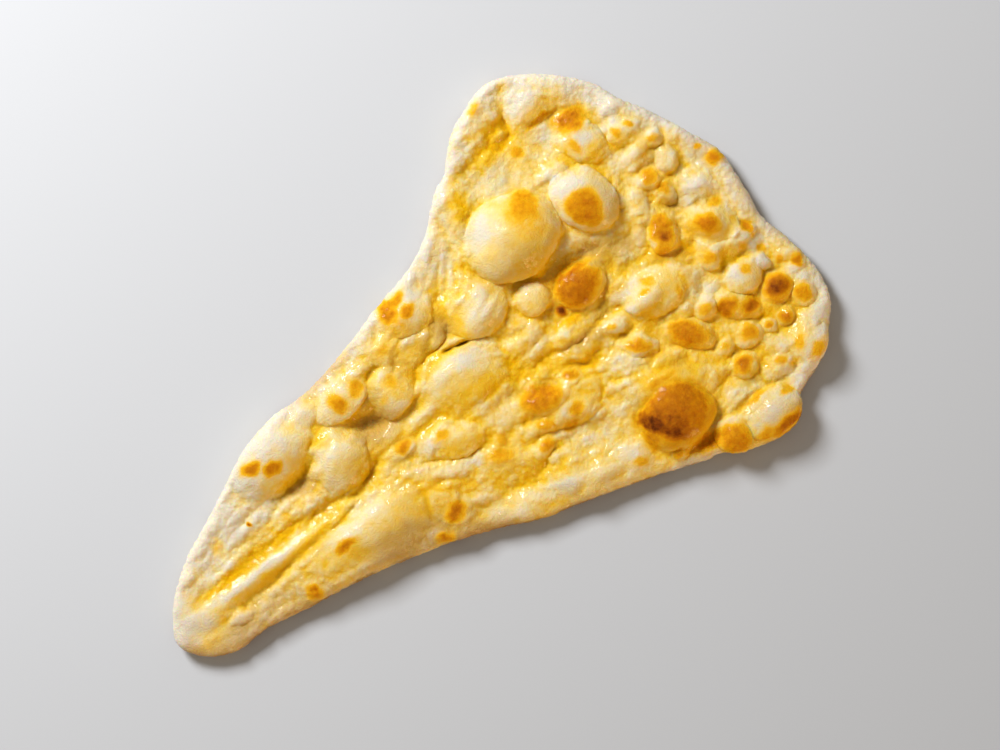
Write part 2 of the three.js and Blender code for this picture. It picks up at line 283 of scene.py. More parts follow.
def scatter_lumps(low, high):
    """Ovals of random size, mostly small, anywhere between two corners, along the way of the stretch."""
    draw = np.random.default_rng(LUMP_SEED)
    widths = LUMP_WIDTHS[0] + (LUMP_WIDTHS[1] - LUMP_WIDTHS[0]) * draw.random(LUMP_COUNT) ** 2
    lengths = widths * draw.uniform(*LUMP_STRETCH, LUMP_COUNT)
    places = draw.uniform(low, high, (LUMP_COUNT, 2))
    turns = np.degrees(stretch_way(*places.T)) + draw.normal(0, LUMP_TURN, LUMP_COUNT)
    return np.column_stack([places, lengths, widths, turns])


def line_swells(loop):
    """Ovals of random size that follow each other along a loop, a little inside it."""
    draw = np.random.default_rng(SWELL_SEED)
    swells = []
    run = 0.0
    while run < len(loop) * EDGE_SPACING:
        length, width = draw.uniform(*SWELL_LENGTHS), draw.uniform(*SWELL_WIDTHS)
        spot = int(run / EDGE_SPACING)
        along = loop[(spot + SWELL_SIGHT) % len(loop)] - loop[spot - SWELL_SIGHT]
        inward = np.array([-along[1], along[0]]) / np.linalg.norm(along)
        middle = loop[spot] + SWELL_INSET * width * inward
        swells.append((*middle, length, width, math.degrees(math.atan2(along[1], along[0]))))
        run += SWELL_STEP * length
    return swells


def raise_blisters(x, y, kinds):
    """Height over the dough, sideways shift and crown of the blisters at each place. The crown is 1 at a
    blister's top and 0 at its foot."""
    draw = np.random.default_rng(OUTLINE_SEED)
    total = np.zeros(len(x))
    shift = np.zeros((len(x), 2))
    crown = np.zeros(len(x))
    least_reach = 1e-3
    least_weight = 1e-9
    for kind, oval in ((kind, oval) for kind, ovals in kinds for oval in ovals):
        phases = draw.uniform(0, 2 * math.pi, len(WOBBLE))
        slant = math.tan(math.radians(oval[5] if len(oval) > 5 else kind["lean"])) * lean_way
        foot = np.array(oval[:2]) - slant * kind["share"] * oval[3] / 2
        limit = oval[2] * (OUTLINE_LIMIT + SKIRT_REACH) / 2
        near = np.flatnonzero(np.hypot(x - foot[0], y - foot[1]) < limit)
        along, across = in_oval(x[near], y[near], (*foot, *oval[2:5]))
        bearing = np.arctan2(across, along)
        swells = sum(
            share * np.sin((swell + 2) * bearing + phases[swell]) for swell, share in enumerate(WOBBLE))
        reach = np.maximum(np.hypot(along, across) * (1 + kind["wobble"] * swells), least_reach)
        outward = np.column_stack([x[near], y[near]]) - foot
        sheltered = outward @ lean_way / np.maximum(np.linalg.norm(outward, axis=1), least_reach)
        crisp_side, soft_side = kind["soft"]
        soft = crisp_side + (soft_side - crisp_side) * smooth_step(-sheltered, LEE_START, LEE_END)
        soft = np.clip(soft + FOOT_CHANGE * patchy(x[near], y[near], FOOT_PATCH, OUTLINE_SEED), 0, 1)
        wrap = math.radians(kind["wrap"])
        turned = wrap * np.minimum(reach, 1)
        ball = (np.cos(turned) - math.cos(wrap)) / (1 - math.cos(wrap))
        bell = (1 - np.minimum(reach / BELL_REACH, 1) ** 2) ** 2
        cap = ball + soft * (bell - ball)
        skirt = kind["skirt"] * np.clip(1 + (1 - reach) / SKIRT_REACH, 0, 1) ** 2
        height = kind["share"] * oval[3] * (skirt + (1 - kind["skirt"]) * cap)
        weight = height ** MERGE_POWER
        bulge = np.where(reach < 1, (np.sin(turned) / (reach * math.sin(wrap)) - 1) * (1 - soft), 0)
        total[near] += weight
        shift[near] += (weight * bulge)[:, None] * outward + (weight * height)[:, None] * slant
        crown[near] = np.maximum(crown[near], 1 - reach)
    shift /= np.maximum(total, least_weight)[:, None]
    return total ** (1 / MERGE_POWER), shift, crown


def stray(places, wander, seed):
    """One direction of the places, wandered and dented, so that blisters lose their true ovals."""
    return places + WANDER * wave(x, y, *wander) + DENT * patchy(x, y, DENT_SIZE, seed)


stray_x = stray(x, WANDER_X, DENT_SEEDS[0])
stray_y = stray(y, WANDER_Y, DENT_SEEDS[1])
kinds = [
    (BALL, BALLS), (PUFF, PUFFS), (PAN, PANS), (MOUND, MOUNDS), (BUTTON, BUTTONS),
    (SWELL, line_swells(edge)),
]
lumps = scatter_lumps(edge.min(axis=0), edge.max(axis=0))
rise, shift, crown = raise_blisters(stray_x, stray_y, kinds)
rider_rise, rider_shift, _ = raise_blisters(stray_x, stray_y, [(RIDER, RIDERS)])
lump_rise, lump_shift, _ = raise_blisters(stray_x, stray_y, [(LUMP, lumps)])

# Folds and furrows in the stretched dough: a line of (x, y, height) and its full width
FOLDS = [
    ([(-178, -11, 0), (-168, -9, 2), (-145, -8, 3.7), (-110, -8.5, 3.8), (-85, -8, 3),
      (-62, -8.5, 0.8)], 18),
    ([(-164, -2, -0.6), (-150, -2.5, -0.9), (-130, -2.5, -0.9), (-100, -3, -1), (-66, -5, -1.8),
      (-50, -1, -1)], 12),
    ([(-154, -17.5, -0.8), (-135, -17, -1.7), (-112, -16, -1.6), (-72, -12.5, -1.2)], 8),
    ([(-66, -6, -0.5), (-58, -4, -2), (-48, -0.5, -1)], 3.5),
    ([(-104, 18, -0.5), (-93, 14.5, -2.2), (-82, 14.5, -3.6), (-72, 20, -2)], 10),
    ([(-50, 21, -2), (-42, 18.5, -5), (-35, 16, -4.5), (-31, 22, -2.5)], 14),
    ([(107.5, 103, -1), (107, 95, -3), (104, 88, -2)], 8),
    ([(61, 69, -1.2), (65, 76, -0.8), (68, 82, -0.4)], 10),
    ([(82, 88, -0.4), (94, 87, -1.4), (104, 86, -0.8)], 11),
    ([(114, 85, -1), (119, 82.5, -2), (132, 82, -1)], 5),
    ([(141, 68, -0.5), (141, 55, -1.4), (145, 47, -0.8)], 3.5),
    ([(108, -5, -0.5), (122, -8, -1.8), (137, -19, -1)], 4),
    ([(25, 45, -0.6), (24, 33, -1.2), (17, 27, -1), (4, 24, -0.7), (-4, 23, -0.4)], 4),
    ([(146, 20, -0.6), (146, 11, -2.6), (149, 3, -0.6)], 8),
    ([(27, -38, -0.5), (33, -44, -0.8), (43, -48.5, -1), (52, -48, -0.8), (61, -42, -0.8),
      (66, -33, -0.6)], 4),
    ([(99, 9, -1), (105, 3, -2.4), (112, -3, -1)], 14),
    ([(58, 24, -1), (73, 21.5, -2.5), (90, 18.5, -2.5), (102, 16, -2)], 12),
    ([(73, 12, -0.5), (78, 17, -1.4), (86, 18.5, -1.6), (97, 16, -1.2)], 3.5),
    ([(58, 70, 0.4), (80, 70, 1.4), (102, 64, 1.2), (118, 62, 0.5)], 24),
    ([(142, 0, -1), (144, -8, -2.2), (141, -17, -1.5)], 9),
    ([(60, -8, -0.5), (69, -15, -2.2), (80, -12.5, -1.5), (95, -14, -1)], 6),
    ([(28, 21, -0.6), (36, 11, -0.5), (37.5, 1, -0.5), (31, -8, -0.5), (15, -11, -0.9), (0, -9, -0.9),
      (-9, -2, -0.5)], 5),
    ([(10, -62, 0), (30, -71, 1.6), (52, -78, 2.2), (70, -84, 1.4)], 44),
    ([(102, -83, 0.5), (114, -84, 1.8), (128, -85, 0.8)], 24),
    ([(48, -62, 0.3), (60, -62, 1.2), (72, -63, 0.5)], 18),
    ([(-47, -11, -0.3), (-39, -22, -1), (-39, -32, -1.5), (-44, -42, -1)], 5),
    ([(-42, -17, 0.5), (-31, -21, 2), (-21, -27, 1.8), (-10, -30, 0.4)], 13),
    ([(52, 82.5, 0.4), (57, 84, 1.6), (62, 86, 0.4)], 12),
    ([(-2, 39, 0.3), (8, 37, 1.5), (18, 39, 0.6)], 9),
    ([(92, -50, -1), (101, -55, -2), (112, -60, -1)], 13),
    ([(98, -91.5, -0.5), (118, -90, -1.1), (138, -92, -0.9), (150, -91, -0.5)], 5),
    ([(76, -93, -1), (88, -94.5, -4), (96, -96, -2)], 9),
]
# A small tear in the skin, as a line of (x, y, depth)
TEAR = [(11, 20, 1), (14, 19.5, 4), (18, 18.5, 2), (22, 17.5, 6), (26, 17.3, 1)]
TEAR_WIDTH = 2.8
# Zones where the dough is stretched tight and smooth: (x, y, length, width, turn in degrees), and how
# smooth from 0 to 1
TIGHT = [
    ((-125, -9, 120, 18, 0), 0.85), ((-168, -10, 40, 50, 0), 0.7), ((18, -70, 150, 26, -19), 0.45),
    ((-68, -26, 80, 36, -10), 0.6), ((36, 60, 50, 30, 42), 0.3), ((95, 74, 60, 30, 10), 0.35),
    ((13, 7, 46, 36, -6), 0.5), ((-25, 3, 64, 24, 0), 0.5), ((-64, 39, 34, 22, 5), 0.7),
]
# Zones with stretch wrinkles along their length: an oval as above, and their height
STRETCHES = [
    ((-125, 4, 120, 60, 6), 1.0), ((15, -66, 130, 36, -18), 0.6), ((36, 57, 46, 36, 48), 1.6),
    ((172, 6, 100, 18, 94), 1.0), ((39, 33, 30, 28, 15), 1.5), ((134, 92, 24, 18, -50), 1.4),
    ((-55, 44, 60, 16, 5), 1.2), ((-30, -25, 60, 28, -20), 1.6), ((60, -40, 60, 24, -14), 1.4),
    ((13, 8, 44, 30, -6), 1.0), ((-35, 5, 80, 26, 2), 1.4), ((-66, 14, 40, 36, 20), 0.9),
]
WRINKLE_SIZE = 4.2
WRINKLE_STRETCH = 5
WRINKLE_GAIN = 1.4
WRINKLE_SINK = 0.5          # share of their height by which the valleys between wrinkles sink
WRINKLE_SEED = 30
ZONE_FADE = (0.5, 1.0)      # zones fade out between these shares of their reach
# Crumpled skin everywhere, as pairs of patch size and height
CRUMPLES = [(13, 1.7), (6, 1.05), (2.8, 0.8)]
CRUMPLE_STRETCH = 1.8
CRUMPLE_SEED = 20
FULL_LOSS = 0.65            # share of its slack that skin loses on a blister
FULL_RISES = (2.0, 8.0)     # as it rises from the first of these to the second
TIGHT_LOSS = 0.7            # share of their height that wrinkles lose in tight dough
STRETCH_LOSS = 0.6          # and that lumps lose in stretched dough


def beside_line(x, y, line):
    """Distance from each place to a line of (x, y, height), and the line's height at its nearest point."""
    nearest = np.full(len(x), np.inf)
    height = np.zeros(len(x))
    for (ax, ay, az), (bx, by, bz) in zip(line, line[1:]):
        along = ((x - ax) * (bx - ax) + (y - ay) * (by - ay)) / ((bx - ax) ** 2 + (by - ay) ** 2)
        share = np.clip(along, 0, 1)
        distance = np.hypot(x - ax - share * (bx - ax), y - ay - share * (by - ay))
        height = np.where(distance < nearest, az + share * (bz - az), height)
        nearest = np.minimum(nearest, distance)
    return nearest, height


def zone_share(x, y, zone):
    """1 in the middle of an oval zone, fading to 0 at its outline."""
    return 1 - smooth_step(np.hypot(*in_oval(x, y, zone)), *ZONE_FADE)


def wrinkles(x, y, zone, seed):
    """Long rounded wrinkles along an oval zone, about -0.5 to 0.9."""
    along, across = in_oval(x, y, zone)
    rounded = np.abs(patchy(along * zone[2] / 2 / WRINKLE_STRETCH, across * zone[3] / 2, WRINKLE_SIZE, seed))
    return zone_share(x, y, zone) * (WRINKLE_GAIN * rounded - WRINKLE_SINK)


folds = np.zeros(len(x))
for line, width in FOLDS:
    distance, line_height = beside_line((x + stray_x) / 2, (y + stray_y) / 2, line)
    folds += line_height * (1 - np.minimum(distance / (width / 2), 1) ** 2) ** 2
tear_distance, tear_depth = beside_line(x, y, TEAR)
tear = 1 - np.minimum(tear_distance / (TEAR_WIDTH / 2), 1) ** 2
tight = np.max([share * zone_share(x, y, zone) for zone, share in TIGHT], axis=0)
slack = (1 - FULL_LOSS * smooth_step(rise, *FULL_RISES)) * (1 - tight)
along_stretch = np.hypot(stray_x - HAND[0], stray_y - HAND[1]) / CRUMPLE_STRETCH
across_stretch = stretch_way(stray_x, stray_y) * -HAND[0]
crumpled = sum(
    height * np.abs(patchy(along_stretch, across_stretch, size, CRUMPLE_SEED + k))
    for k, (size, height) in enumerate(CRUMPLES))
stretched = np.max([zone_share(x, y, zone) for zone, _ in STRETCHES], axis=0)
wrinkled = sum(
    height * wrinkles(x, y, zone, WRINKLE_SEED + k) for k, (zone, height) in enumerate(STRETCHES))
wrinkled *= 1 - TIGHT_LOSS * tight
loose = slack**2 * (1 - STRETCH_LOSS * stretched)

# Upper face: all of these stand on the flat dough, which rounds down to the edge
DOUGH = 7.0                 # top of the flat dough between blisters
DOUGH_SWELL = 1.3           # slow unevenness of that top
DOUGH_WAVE = (58, 0.9)      # as a wavelength and a phase
EDGE_HEIGHT = 5.0
EDGE_SWELL = 0.9
EDGE_WAVE = (83, 2.6)
edge_height = EDGE_HEIGHT + EDGE_SWELL * wave(x, y, *EDGE_WAVE)
height = DOUGH + DOUGH_SWELL * wave(x, y, *DOUGH_WAVE) + rise + rider_rise + folds + wrinkled
height = height + loose * lump_rise + slack * crumpled - tear_depth * tear
rim = rounding(inside_edge, RIM_WIDTH)
top_z = edge_height + (height - edge_height) * rim
top_xy = top + (shift + rider_shift + loose[:, None] * lump_shift) * rim[:, None]

# Underside: flat where it lay on the oven wall, with shallow hollows where steam lifted it
BASE_HOLLOWS = [(34, 1.6), (13, 0.9), (6, 0.5)]    # sizes and depths
HOLLOW_SEED = 60
x_base, y_base = base.T
base_edge = EDGE_HEIGHT + EDGE_SWELL * wave(x_base, y_base, *EDGE_WAVE)
inside_base = edge_distance(base_steps, base_dots)
hollows = sum(
    depth * np.abs(patchy(x_base, y_base, size, HOLLOW_SEED + k))
    for k, (size, depth) in enumerate(BASE_HOLLOWS))
base_rim = rounding(inside_base, BASE_WIDTH)
base_z = base_edge * (1 - base_rim) + hollows * smooth_step(inside_base, BASE_WIDTH, 2 * BASE_WIDTH)

# One closed mesh: the underside shares the edge's points with the upper face
shared = len(edge)
renumber = np.concatenate([np.arange(shared), np.arange(len(base) - shared) + len(top)])
verts = np.vstack([np.column_stack([top_xy, top_z]), np.column_stack([base, base_z])[shared:]])
faces = np.vstack([top_faces, renumber[base_faces][:, ::-1]])
own_low, own_high = verts[:shared, :2].min(axis=0), verts[:shared, :2].max(axis=0)
low, high = (np.array(corner)[:2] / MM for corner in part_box("naan"))
from_middle = verts[:, :2] - (own_low + own_high) / 2
verts[:, :2] = (low + high) / 2 + from_middle * (high - low) / (own_high - own_low)

bread_mesh = bpy.data.meshes.new("naan_bread")
bread_mesh.from_pydata((verts * MM).tolist(), [], faces.tolist())
bread_mesh.polygons.foreach_set("use_smooth", np.ones(len(faces), bool))

# Toasted marks, each (x, y, length, width, turn in degrees, how dark from 0 to 1)
TOASTS = [
    (88, 55, 16, 15, 0, 0.48), (86, 52, 23, 19, -25, 0.26), (84.5, 43, 19, 14, 0, 0.22),
    (61, 46.5, 11, 9, 0, 0.12), (72, 58, 12, 8, 30, 0.1), (111.5, 35, 19, 20, 10, 0.58),
    (110, 31.5, 12, 10, 0, 0.62), (132.5, 74.5, 18, 14, -10, 0.62), (128.5, 76.5, 6, 5, 0, 0.68),
    (136.5, 76, 6, 5, 0, 0.7), (126, 63, 5, 11, 15, 0.34), (85, 6.5, 27, 18, -8, 0.68),
    (86, 14.5, 26, 6, -6, 0.66), (70.5, 1.5, 6, 6, 0, 0.95), (2, 54.5, 10, 12, 0, 0.58),
    (8, 57, 15, 6, 8, 0.5), (10.5, 49.5, 10, 7, -25, 0.54), (-11, 41, 11, 9, 0, 0.25),
    (-45, 34, 10, 12, 20, 0.5), (-33.5, 35, 7.5, 9, 0, 0.44), (-18, 26.5, 8, 7, 0, 0.32),
    (-27, 21, 6, 5, 0, 0.22), (-98.5, 36, 9.5, 8, 0, 0.66), (-90.5, 28.5, 10, 7.5, 0, 0.66),
    (-81, 26, 9, 7, 0, 0.16), (-85, -24, 13, 6, -6, 0.6), (-112, -32.5, 9, 7, -15, 0.58),
    (-159, 8.5, 13, 5, 40, 0.06), (-136, 15, 9, 5, 50, 0.22), (-116, 14, 2.4, 2.2, 0, 0.95),
    (-32.5, -44, 12, 10, 0, 0.66), (-43, -51, 10, 6, -20, 0.52), (3, -36.5, 14, 9, -30, 0.4),
    (-14, -10.5, 10, 6, -10, 0.36), (-19, -16, 5, 4, 0, 0.22), (-33, -2.5, 10, 5, 0, 0.56),
    (36, -26, 23, 15, -28, 0.58), (54.5, -26, 8, 6, -10, 0.52), (40.5, -45.5, 11, 7, -15, 0.42),
    (48, -40, 9, 8, 0, 0.48), (30, -37, 9, 7, -30, 0.38), (8, -30, 7, 6, 0, 0.38),
    (15, -37, 4, 4, 0, 0.34), (24, -46.5, 8, 6, -20, 0.5), (84.5, -73, 42, 35, -15, 0.45),
    (67, -75, 8, 16, -10, 0.52), (88, -55.5, 22, 5, -8, 0.42), (85.5, -72, 36, 29, -15, 0.69),
    (72.5, -70.5, 21, 11, -62, 0.95), (77, -78, 20, 9.5, -54, 0.9), (78.5, -74.5, 29, 18, -57, 0.8),
    (100, -101, 17, 16, 0, 0.56), (88, -94, 24, 10, -12, 0.6), (131, -4, 16, 9, 30, 0.5),
    (125, -111, 22, 7, -1, 0.7), (135, -98, 7, 4, 0, 0.36), (118, -91, 24, 3, 0, 0.38),
    (113, -108, 12, 5, 0, 0.4), (73.5, -89, 8, 6, 0, 0.5), (56.5, -82, 10, 6, -20, 0.32),
    (113, -45.5, 23, 12.5, -50, 0.59), (127, -41.5, 9, 8, 0, 0.34), (137, -46.2, 11, 10, 0, 0.66),
    (146, -53, 10.5, 9, -10, 0.72), (163, -54.5, 14, 12.5, 0, 0.86), (170.5, -65, 10, 10, 60, 0.5),
    (154, -8.5, 13, 12.5, -60, 0.62), (145, -22, 7, 8, 0, 0.4), (160.5, -27.5, 6, 7, 20, 0.28),
    (164, -2, 9, 7, -30, 0.38), (170, -22, 6, 8, 0, 0.62), (166, -14, 6, 5, 0, 0.24),
    (155, -38, 7, 6.5, 0, 0.36), (173, -43, 5, 5, 0, 0.4), (168, -34, 5, 5, 0, 0.34),
    (179, -50, 5, 6, 0, 0.58), (177.5, 16, 8, 8, 0, 0.56), (175, 25, 4, 4, 0, 0.42),
    (135, 2, 20, 12, 66, 0.58), (134, -0.5, 9, 7, 66, 0.8), (113.5, -12.5, 8, 9, 0, 0.3),
    (108.5, -16, 6, 4, 0, 0.38), (122.5, -26, 8, 5, 40, 0.34), (86, -19, 6, 4, 0, 0.3),
    (90, -35, 15, 7, -40, 0.52), (94, -44, 15, 8, -10, 0.3), (146, 28, 10, 9, 0, 0.48),
    (149, 20, 6.5, 8, 0, 0.48), (158.5, 42.5, 6, 6, 0, 0.3), (146.5, 54.5, 5, 6, 0, 0.36),
    (154, 55, 7, 5, -30, 0.4), (125.7, -75, 11.5, 10.5, 0, 0.64), (137.5, -64, 10.5, 8.5, 0, 0.52),
    (148, -67, 5, 4.5, 0, 0.52), (157.3, -68, 8, 8, 0, 0.6), (124, -62, 7, 5.5, 0, 0.3),
    (154.5, -83.5, 9, 8, 0, 0.36), (160, -91, 15, 5, 20, 0.34), (142, -84.5, 5.5, 5.5, 0, 0.34),
    (98.5, 108, 8, 5, 30, 0.3), (101.5, 78, 6, 9, 0, 0.46), (112, 74, 8, 5, 0, 0.14),
    (119, 88.5, 14, 10, 0, 0.2), (121, 83.5, 18, 3.5, 0, 0.5), (2, 48, 16, 18, 0, 0.24),
    (86, 18.5, 18, 5, -8, 0.4), (146.5, -6, 9, 11, 0, 0.26),
]
# Painted shade on slopes and hollows turned away from the light, and dry-baked tan along the rim, in the
# same form
SHADE_AND_TAN_PATCHES = [
    (-152, -26, 74, 15, 2, 0.7), (18, -78, 36, 8, -18, 0.3), (-46, -22, 16, 18, 0, 0.25),
    (180, -30, 8, 24, 0, 0.25), (96, -5, 14, 8, 0, 0.3), (-122, -35, 40, 11, -8, 0.75),
    (-56, -42, 70, 18, -14, 0.74), (-28, -59, 44, 11, -24, 0.9), (-176, -20, 16, 10, -50, 0.7),
    (-37, 14, 26, 18, 0, 0.8), (8, 33, 34, 13, 0, 0.4), (66, 38, 46, 22, 0, 0.36),
    (-10, 31, 15, 13, 0, 0.5), (-30, 27, 10, 12, 0, 0.4), (155, 35, 12, 12, 0, 0.3),
    (-84, 12, 18, 8, 0, 0.7), (98.5, 15.5, 23, 14, 0, 0.9), (122, 31, 14, 26, 0, 0.38),
    (100, -56, 12, 14, 0, 0.25), (-98, -16, 24, 7, 0, 0.25), (176, -11, 10, 20, 0, 0.2),
    (85, -92.5, 26, 12, -14, 0.95), (100, -102, 16, 14, 0, 0.5), (176, 21, 14, 14, 0, 0.45),
    (114, 10.5, 22, 13, -20, 0.65), (148, 11, 11, 14, 0, 0.65), (132, -110, 24, 9, 10, 0.85),
    (-45, 50, 44, 8, 8, 0.65), (18, 32, 14, 13, 0, 0.78), (-36, -15, 16, 10, 0, 0.2),
    (182, -45, 6, 14, 0, 0.3), (69, -15.5, 22, 9, -5, 0.68), (87, -10, 24, 9, -5, 0.45),
    (-58, 7, 28, 14, 10, 0.35), (118, -104, 26, 8, -4, 0.3), (120, -98, 30, 13, -4, 0.2),
    (-38, -6.5, 22, 7, 0, 0.3), (134, -14, 16, 8, -40, 0.3),
]
# Pools of butter, in the same form with how much from 0 to 1; those on slopes turned away from the light,
# such as the great dome's lower flank, are painted shade
BUTTER_AND_SHADE_POOLS = [
    (90, 86, 40, 11, 6, 0.9), (72, 78, 14, 12, 0, 0.1), (62, 72, 22, 13, 65, 0.9),
    (101, 94, 17, 14, 0, 0.7), (-131, -2, 72, 8, 0, 1.0), (43, 45, 24, 14, 50, 0.5),
    (14, -4, 38, 14, -4, 0.42), (-46, -22, 24, 20, 0, 0.3), (70, -4, 12, 8, 0, 0.8),
    (16, 21, 20, 6, -5, 0.4), (95, 73, 20, 9, 0, 0.35), (130, 55, 18, 10, 0, 0.4),
    (147, 10, 10, 12, 0, 0.5), (-20, -3, 34, 9, 0, 0.4), (39, -14, 44, 14, -8, 0.25),
    (-17, -37, 40, 12, -30, 0.35), (74, -14.5, 34, 8, -8, 0.7), (123, -4, 18, 8, -20, 0.6),
    (52, 4, 26, 18, 0, 0.15), (104, 4, 22, 18, 0, 0.2), (140, -28, 20, 10, -30, 0.2),
    (97, -5, 14, 8, 0, 0.8), (67, 35, 42, 16, 0, 0.32), (63, 16, 18, 16, 0, 0.3),
    (122, -19, 30, 18, -20, 0.45), (118, 60, 16, 22, 0, 0.6), (24, 28, 10, 22, 0, 0.6),
    (-14, 23, 16, 18, 0, 0.4), (150, -60, 26, 10, -30, 0.5), (104, -60, 9, 16, 0, 0.5),
    (90, -52.5, 30, 12, -12, 0.75), (-5, -21, 16, 10, -30, 0.5), (-90, -10.5, 36, 10, 2, 0.85),
    (134, -11, 12, 10, -40, 0.9), (68, -25, 18, 12, 0, 0.6), (-166, -21, 16, 8, -20, 0.4),
]
# Pale, dry or floury patches, in the same form; some are painted highlight, such as the lit crest of the
# tail's fold
PALE_AND_HIGHLIGHT_PATCHES = [
    (-132, 20, 100, 30, 22, 0.9), (-171, -3, 34, 32, 0, 1.0), (-142, -24, 60, 14, 0, 0.6),
    (-134, -7, 78, 5, 0, 1.0), (-88, 40, 56, 16, 8, 0.95), (-85, 31, 42, 15, 8, 1.0),
    (-62, 18, 22, 12, 10, 0.5), (-75, -17, 56, 13, 4, 0.75), (63, 59, 27, 19, 20, 0.8),
    (112, 53, 24, 18, 0, 0.85), (133, 64, 13, 15, 100, 0.8), (10, 13.5, 44, 12, -4, 0.6),
    (107, -10, 26, 8, -6, 0.7), (152, -19, 16, 8, -40, 0.3), (151, -37, 14, 9, 0, 0.9),
    (122, -100, 26, 17, -6, 0.6), (174, 2, 16, 80, 2, 0.5), (177, -32, 12, 50, 0, 0.2),
    (175, -78, 20, 24, 0, 0.9), (150, -95, 40, 9, 20, 0.95), (15, -66, 34, 12, -19, 0.9),
    (54, -74, 18, 14, -30, 0.7), (-4, -64, 40, 10, -22, 0.4), (40, -80, 60, 9, -19, 0.3),
    (80, -37, 20, 9, -20, 0.6), (98, 107, 46, 15, 15, 0.55), (126, 101, 30, 18, -25, 0.85),
    (147, 80, 18, 30, 35, 0.75), (117, 70, 10, 22, -10, 0.7), (160, 55, 12, 34, 30, 0.7),
    (84, 73, 30, 14, 10, 0.7), (-21, -9, 16, 8, -10, 0.5), (-11, -29, 12, 5, -20, 0.8),
    (11, -10, 15, 4, -6, 0.7), (65, -6.5, 16, 4, -14, 0.6), (83, -16, 20, 4, -14, 0.5),
    (43, -37.5, 9, 7, 0, 0.7), (128, -38, 12, 7, 0, 0.5), (158, 10, 16, 14, 0, 0.5),
    (165, -40, 9, 9, 0, 0.8), (118, -86, 30, 9, -4, 0.7), (-30, 47, 60, 9, 12, 0.2),
    (28, 60, 64, 20, 26, 0.9), (70, 92, 44, 12, 40, 0.45), (94, 71, 44, 15, 6, 0.4),
    (80, 76, 24, 10, 5, 0.9), (40, 34, 24, 18, 40, 0.4), (78, -98, 40, 5, -17, 0.6),
    (104, -93, 18, 4, 10, 0.7), (-52, 42, 24, 8, 0, 0.5), (130, 30, 8, 22, -10, 0.5),
    (139, 43, 18, 16, 0, 0.9), (168, -31, 12, 12, 0, 0.8), (-77, 3, 24, 7, 5, 0.6),
    (177, -60, 16, 22, 0, 1.0), (142, -92, 24, 8, 0, 0.9), (148, -83, 16, 12, 0, 0.6),
    (147, -99, 20, 8, 15, 1.0), (-172, -4, 26, 22, 0, 1.0), (52, -54, 40, 12, -12, 0.6),
    (136, 32, 12, 12, 0, 0.7), (163, -24, 16, 10, 0, 0.6), (137, -27, 14, 10, -30, 0.7),
    (-160, 5, 24, 14, 20, 1.0), (62, -49, 20, 9, -12, 0.4), (68, -55, 16, 9, -10, 0.5),
    (-27, -37, 14, 8, -20, 0.3), (80, 95, 16, 9, 20, 0.8), (-147, -14, 20, 7, 0, 0.4),
    (-105, -29, 22, 10, -5, 0.4), (-62, 37, 24, 14, 0, 0.8), (-16, 52, 30, 10, 12, 0.8),
    (-108, 15, 26, 11, 10, 0.9), (42, 5, 24, 10, 0, 0.7), (44, 62, 32, 18, 35, 0.9),
    (2, 37, 10, 5, 0, 0.6), (-62, 39, 26, 13, 0, 0.5), (22, -17, 28, 11, -10, 0.8),
    (54, -2, 18, 8, 0, 0.6), (148, 63, 20, 15, 0, 0.9), (120, 96, 26, 12, 0, 1.0),
    (76, 84, 18, 11, 20, 0.8), (46, -58, 30, 9, -16, 0.8), (133, -33, 18, 9, -30, 0.9),
    (-104, -34, 20, 8, -8, 0.5), (-23, -28, 18, 9, -20, 0.6), (16, -22, 18, 12, 0, 0.5),
    (-48, -46, 10, 5, -10, 0.8),
]
TOAST_FADE = 6.5            # millimetres over which each kind of mark fades out
SHADE_AND_TAN_FADE = 10
BUTTER_AND_SHADE_FADE = 8
PALE_AND_HIGHLIGHT_FADE = 13
SOFTEST = 0.7               # but no farther from its outline than this share of its reach
MIDDLE_LOSS = 0.25          # share of its strength that a mark loses from its middle to its outline
FRAYS = [(11, 1.5), (5.5, 1.1), (2.6, 0.7)]   # patch sizes and reaches by which marks stray from ovals
FRAY_SEEDS = (40, 50)
LIP_FADE = (0.2, 1.4)       # the singed and shaded lip fades out between these distances inside the edge
LIP_FACING = (0.2, 0.8)     # and fades in as the edge turns away from the key light, so it is painted shade as well as singed crust
LIP_PATCH = 14              # in patches of this size
LIP_PATCH_RANGE = (-0.6, 0.3)
LIP_SEED = 6
FIRM_SHARE = 0.7            # share by which the skin of a high blister keeps from settling
FIRM_CROWNS = (0, 0.1)
FIRM_RISES = (5, 9)
TEAR_SHADE_DEPTHS = (1, 4)        # a tear's inside is painted dark as shade from the first of these depths to the second
UNDERSIDE_PALE = 0.5


def frayed(places, seed):
    """One direction of the places, strayed by patches of several sizes, so that marks look ragged."""
    return places + sum(reach * patchy(x, y, size, seed + k) for k, (size, reach) in enumerate(FRAYS))


def paint(x, y, marks, fade):
    """The strongest of some oval marks at each place, strongest in their middles and fading out over some
    millimetres at their outlines."""
    painted = np.zeros(len(x))
    for *oval, strength in marks:
        soft = min(fade / oval[3], SOFTEST)
        reach = np.hypot(*in_oval(x, y, oval))
        mark = (1 - smooth_step(reach, 1 - soft, 1 + soft)) * (1 - MIDDLE_LOSS * np.minimum(reach, 1) ** 2)
        painted = np.maximum(painted, strength * mark)
    return painted


def keep_attribute(mesh, name, on_top, on_base):
    """Stores a number at every point, given for the upper face and as one value for the underside."""
    values = np.concatenate([on_top, np.full(len(mesh.vertices) - len(on_top), float(on_base))])
    mesh.attributes.new(name, "FLOAT", "POINT").data.foreach_set("value", values.astype(np.float32))


